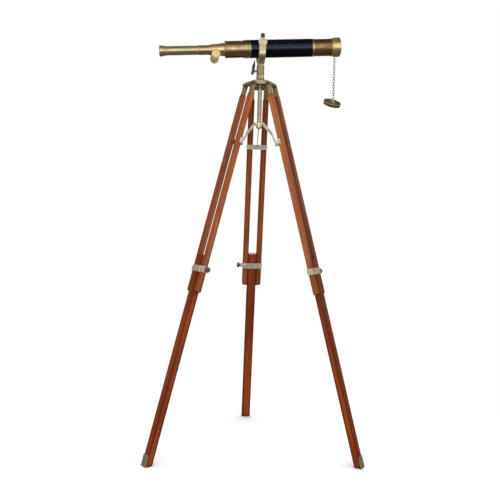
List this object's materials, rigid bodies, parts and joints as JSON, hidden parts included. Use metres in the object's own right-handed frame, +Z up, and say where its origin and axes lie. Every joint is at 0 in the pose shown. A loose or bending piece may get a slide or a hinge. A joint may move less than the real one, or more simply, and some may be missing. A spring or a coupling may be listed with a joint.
{
  "type": "telescope on tripod",
  "caption": "Brass and leather refracting telescope with rack focusing, tilting in a yoke on a folding wooden tripod with sliding legs.",
  "frame": {"origin": "on the floor, midway between the three feet, on the axis of the pan sleeve", "axes": "+Z up, +X along the telescope towards the objective (tilted up by 4.8 degrees at rest), +Y on the back leg's side"},
  "size_m": [0.6871, 0.6251, 1.3729],
  "materials": {
    "head_brass": "satin, aged",
    "post_brass": "satin",
    "yoke_brass": "polished, pale",
    "tube_brass": "polished",
    "antique_brass": "antique, satin",
    "bright_brass": "polished",
    "cap_brass": "dark antique",
    "ferrule_brass": "polished",
    "spreader_brass": "satin",
    "shoe_brass": "satin, worn",
    "bright_steel": "polished",
    "dark_steel": "satin",
    "chain_metal": "polished",
    "black_lacquer": "glossy",
    "black_leather": "fine grain, glossy",
    "lens_glass": "clear, coated",
    "varnished_wood": "glossy reddish-brown varnish"
  },
  "bodies": {
    "stand_head": {"head_casting": "head_brass", "centre_post": "post_brass", "post_stop": "head_brass", "hinge_bolts": "dark_steel"},
    "pan_body": {"pan_sleeve": "head_brass", "yoke": "yoke_brass"},
    "clamp_lever": {"lever_screw": "bright_steel", "lever_grip": "black_lacquer"},
    "tilt_lock": {"tilt_lock_knob": "black_lacquer"},
    "telescope": {"main_tube": "tube_brass", "leather_cover": "black_leather", "rear_sleeve": "antique_brass", "front_sleeve": "antique_brass", "objective_cell": "bright_brass", "objective_lens": "lens_glass", "lens_retaining_ring": "antique_brass", "focus_housing": "antique_brass", "trunnion_screws": "bright_brass", "chain_eyelet": "antique_brass"},
    "focus_pinion": {"pinion_shaft": "bright_steel", "focus_knobs": "bright_brass"},
    "eyepiece_draw": {"draw_tube": "tube_brass", "focus_rack": "bright_steel", "eyepiece_barrel": "antique_brass", "eyecup": "antique_brass", "eyepiece_lenses": "lens_glass"},
    "chain_top": {"chain_links_1": "chain_metal"},
    "chain_upper": {"chain_links_2": "chain_metal"},
    "chain_lower": {"chain_links_3": "chain_metal"},
    "chain_end": {"chain_links_4": "chain_metal"},
    "hanging_cap": {"lens_cap": "cap_brass", "cap_knob": "yoke_brass"},
    "spreader_slider": {"spreader_collar": "spreader_brass"},
    "back_leg": {"back_rail_clamp_side": "varnished_wood", "back_rail_plain_side": "varnished_wood", "back_ferrules": "ferrule_brass", "back_brace_bracket": "spreader_brass", "back_clamp_band": "ferrule_brass"},
    "back_clamp_screw": {"back_thumb_screw": "dark_steel"},
    "back_extension": {"back_lower_bar": "varnished_wood", "back_foot_shoe": "shoe_brass"},
    "back_arm": {"back_spreader_arm": "spreader_brass"},
    "left_leg": {"left_rail_clamp_side": "varnished_wood", "left_rail_plain_side": "varnished_wood", "left_ferrules": "ferrule_brass", "left_brace_bracket": "spreader_brass", "left_clamp_band": "ferrule_brass"},
    "left_clamp_screw": {"left_thumb_screw": "dark_steel"},
    "left_extension": {"left_lower_bar": "varnished_wood", "left_foot_shoe": "shoe_brass"},
    "left_arm": {"left_spreader_arm": "spreader_brass"},
    "right_leg": {"right_rail_clamp_side": "varnished_wood", "right_rail_plain_side": "varnished_wood", "right_ferrules": "ferrule_brass", "right_brace_bracket": "spreader_brass", "right_clamp_band": "ferrule_brass"},
    "right_clamp_screw": {"right_thumb_screw": "dark_steel"},
    "right_extension": {"right_lower_bar": "varnished_wood", "right_foot_shoe": "shoe_brass"},
    "right_arm": {"right_spreader_arm": "spreader_brass"}
  },
  "joints": [
    {"name": "pan", "type": "hinge", "parent": "stand_head", "child": "pan_body", "pos_m": [0, 0, 1.2635], "axis": [0, 0, 1], "continuous": true},
    {"name": "tilt", "type": "hinge", "parent": "pan_body", "child": "telescope", "pos_m": [0, 0, 1.3195], "axis": [0, -1, 0], "range_deg": [-24.8, 13.2]},
    {"name": "clamp_lever_turn", "type": "hinge", "parent": "pan_body", "child": "clamp_lever", "pos_m": [-0.026, 0, 1.2453], "axis": [-1, 0, 0], "range_deg": [-60, 60]},
    {"name": "tilt_lock_turn", "type": "hinge", "parent": "pan_body", "child": "tilt_lock", "pos_m": [0, -0.033, 1.3195], "axis": [0, 0, 1], "range_deg": [0, 360]},
    {"name": "focus_slide", "type": "slide", "parent": "telescope", "child": "eyepiece_draw", "axis": [-0.9965, 0, -0.0837], "range_m": [-0.018, 0.04]},
    {"name": "focus_pinion_turn", "type": "hinge", "parent": "telescope", "child": "focus_pinion", "pos_m": [-0.15028, 0, 1.2855], "axis": [0, -1, 0], "range_deg": [-215, 478]},
    {"name": "chain_top_swing", "type": "hinge", "parent": "telescope", "child": "chain_top", "pos_m": [0.24858, 0, 1.30205], "axis": [0, -1, 0], "range_deg": [-45, 45]},
    {"name": "chain_upper_swing", "type": "hinge", "parent": "chain_top", "child": "chain_upper", "pos_m": [0.24858, 0, 1.27565], "axis": [1, 0, 0], "range_deg": [-35, 35]},
    {"name": "chain_lower_swing", "type": "hinge", "parent": "chain_upper", "child": "chain_lower", "pos_m": [0.24858, 0, 1.23165], "axis": [0, -1, 0], "range_deg": [-35, 35]},
    {"name": "chain_end_swing", "type": "hinge", "parent": "chain_lower", "child": "chain_end", "pos_m": [0.24858, 0, 1.20525], "axis": [1, 0, 0], "range_deg": [-35, 35]},
    {"name": "cap_swing", "type": "hinge", "parent": "chain_end", "child": "hanging_cap", "pos_m": [0.24858, 0, 1.17005], "axis": [1, 0, 0], "range_deg": [-45, 45]},
    {"name": "back_leg_fold", "type": "hinge", "parent": "stand_head", "child": "back_leg", "pos_m": [0.00349, 0.03985, 1.2], "axis": [-0.9962, 0.0872, 0], "range_deg": [0, 12]},
    {"name": "left_leg_fold", "type": "hinge", "parent": "stand_head", "child": "left_leg", "pos_m": [-0.03625, -0.0169, 1.2], "axis": [0.4226, -0.9063, 0], "range_deg": [0, 12]},
    {"name": "right_leg_fold", "type": "hinge", "parent": "stand_head", "child": "right_leg", "pos_m": [0.03277, -0.02294, 1.2], "axis": [0.5736, 0.8192, 0], "range_deg": [0, 12]},
    {"name": "back_arm_turn", "type": "hinge", "parent": "back_leg", "child": "back_arm", "pos_m": [0.00577, 0.0659, 1.00275], "axis": [-0.9962, 0.0872, 0], "range_deg": [0, 18.59]},
    {"name": "left_arm_turn", "type": "hinge", "parent": "left_leg", "child": "left_arm", "pos_m": [-0.05996, -0.02796, 1.00275], "axis": [0.4226, -0.9063, 0], "range_deg": [0, 18.59]},
    {"name": "right_arm_turn", "type": "hinge", "parent": "right_leg", "child": "right_arm", "pos_m": [0.05419, -0.03794, 1.00275], "axis": [0.5736, 0.8192, 0], "range_deg": [0, 18.59]},
    {"name": "spreader_slide", "type": "slide", "parent": "stand_head", "child": "spreader_slider", "axis": [0, 0, 1], "range_m": [0, 0.01622]},
    {"name": "back_extension_slide", "type": "slide", "parent": "back_leg", "child": "back_extension", "axis": [-0.0235, -0.2686, 0.963], "range_m": [0, 0.34]},
    {"name": "left_extension_slide", "type": "slide", "parent": "left_leg", "child": "left_extension", "axis": [0.2444, 0.114, 0.963], "range_m": [0, 0.34]},
    {"name": "right_extension_slide", "type": "slide", "parent": "right_leg", "child": "right_extension", "axis": [-0.2209, 0.1547, 0.963], "range_m": [0, 0.34]},
    {"name": "back_clamp_screw_turn", "type": "hinge", "parent": "back_leg", "child": "back_clamp_screw", "pos_m": [-0.02165, 0.21148, 0.59718], "axis": [-0.9962, 0.0872, 0], "range_deg": [0, 360]},
    {"name": "left_clamp_screw_turn", "type": "hinge", "parent": "left_leg", "child": "left_clamp_screw", "pos_m": [-0.17232, -0.12449, 0.59718], "axis": [0.4226, -0.9063, 0], "range_deg": [0, 360]},
    {"name": "right_clamp_screw_turn", "type": "hinge", "parent": "right_leg", "child": "right_clamp_screw", "pos_m": [0.19397, -0.08699, 0.59718], "axis": [0.5736, 0.8192, 0], "range_deg": [0, 360]}
  ],
  "couplings": [
    {"joint": "focus_pinion_turn", "follows": "focus_slide", "rad_per_m": 208.33},
    {"joint": "left_leg_fold", "follows": "back_leg_fold", "ratio": 1},
    {"joint": "right_leg_fold", "follows": "back_leg_fold", "ratio": 1},
    {"joint": "back_arm_turn", "follows": "back_leg_fold", "ratio": 1.5241},
    {"joint": "left_arm_turn", "follows": "back_leg_fold", "ratio": 1.5241},
    {"joint": "right_arm_turn", "follows": "back_leg_fold", "ratio": 1.5241},
    {"joint": "spreader_slide", "follows": "back_leg_fold", "m_per_rad": 0.076002}
  ]
}
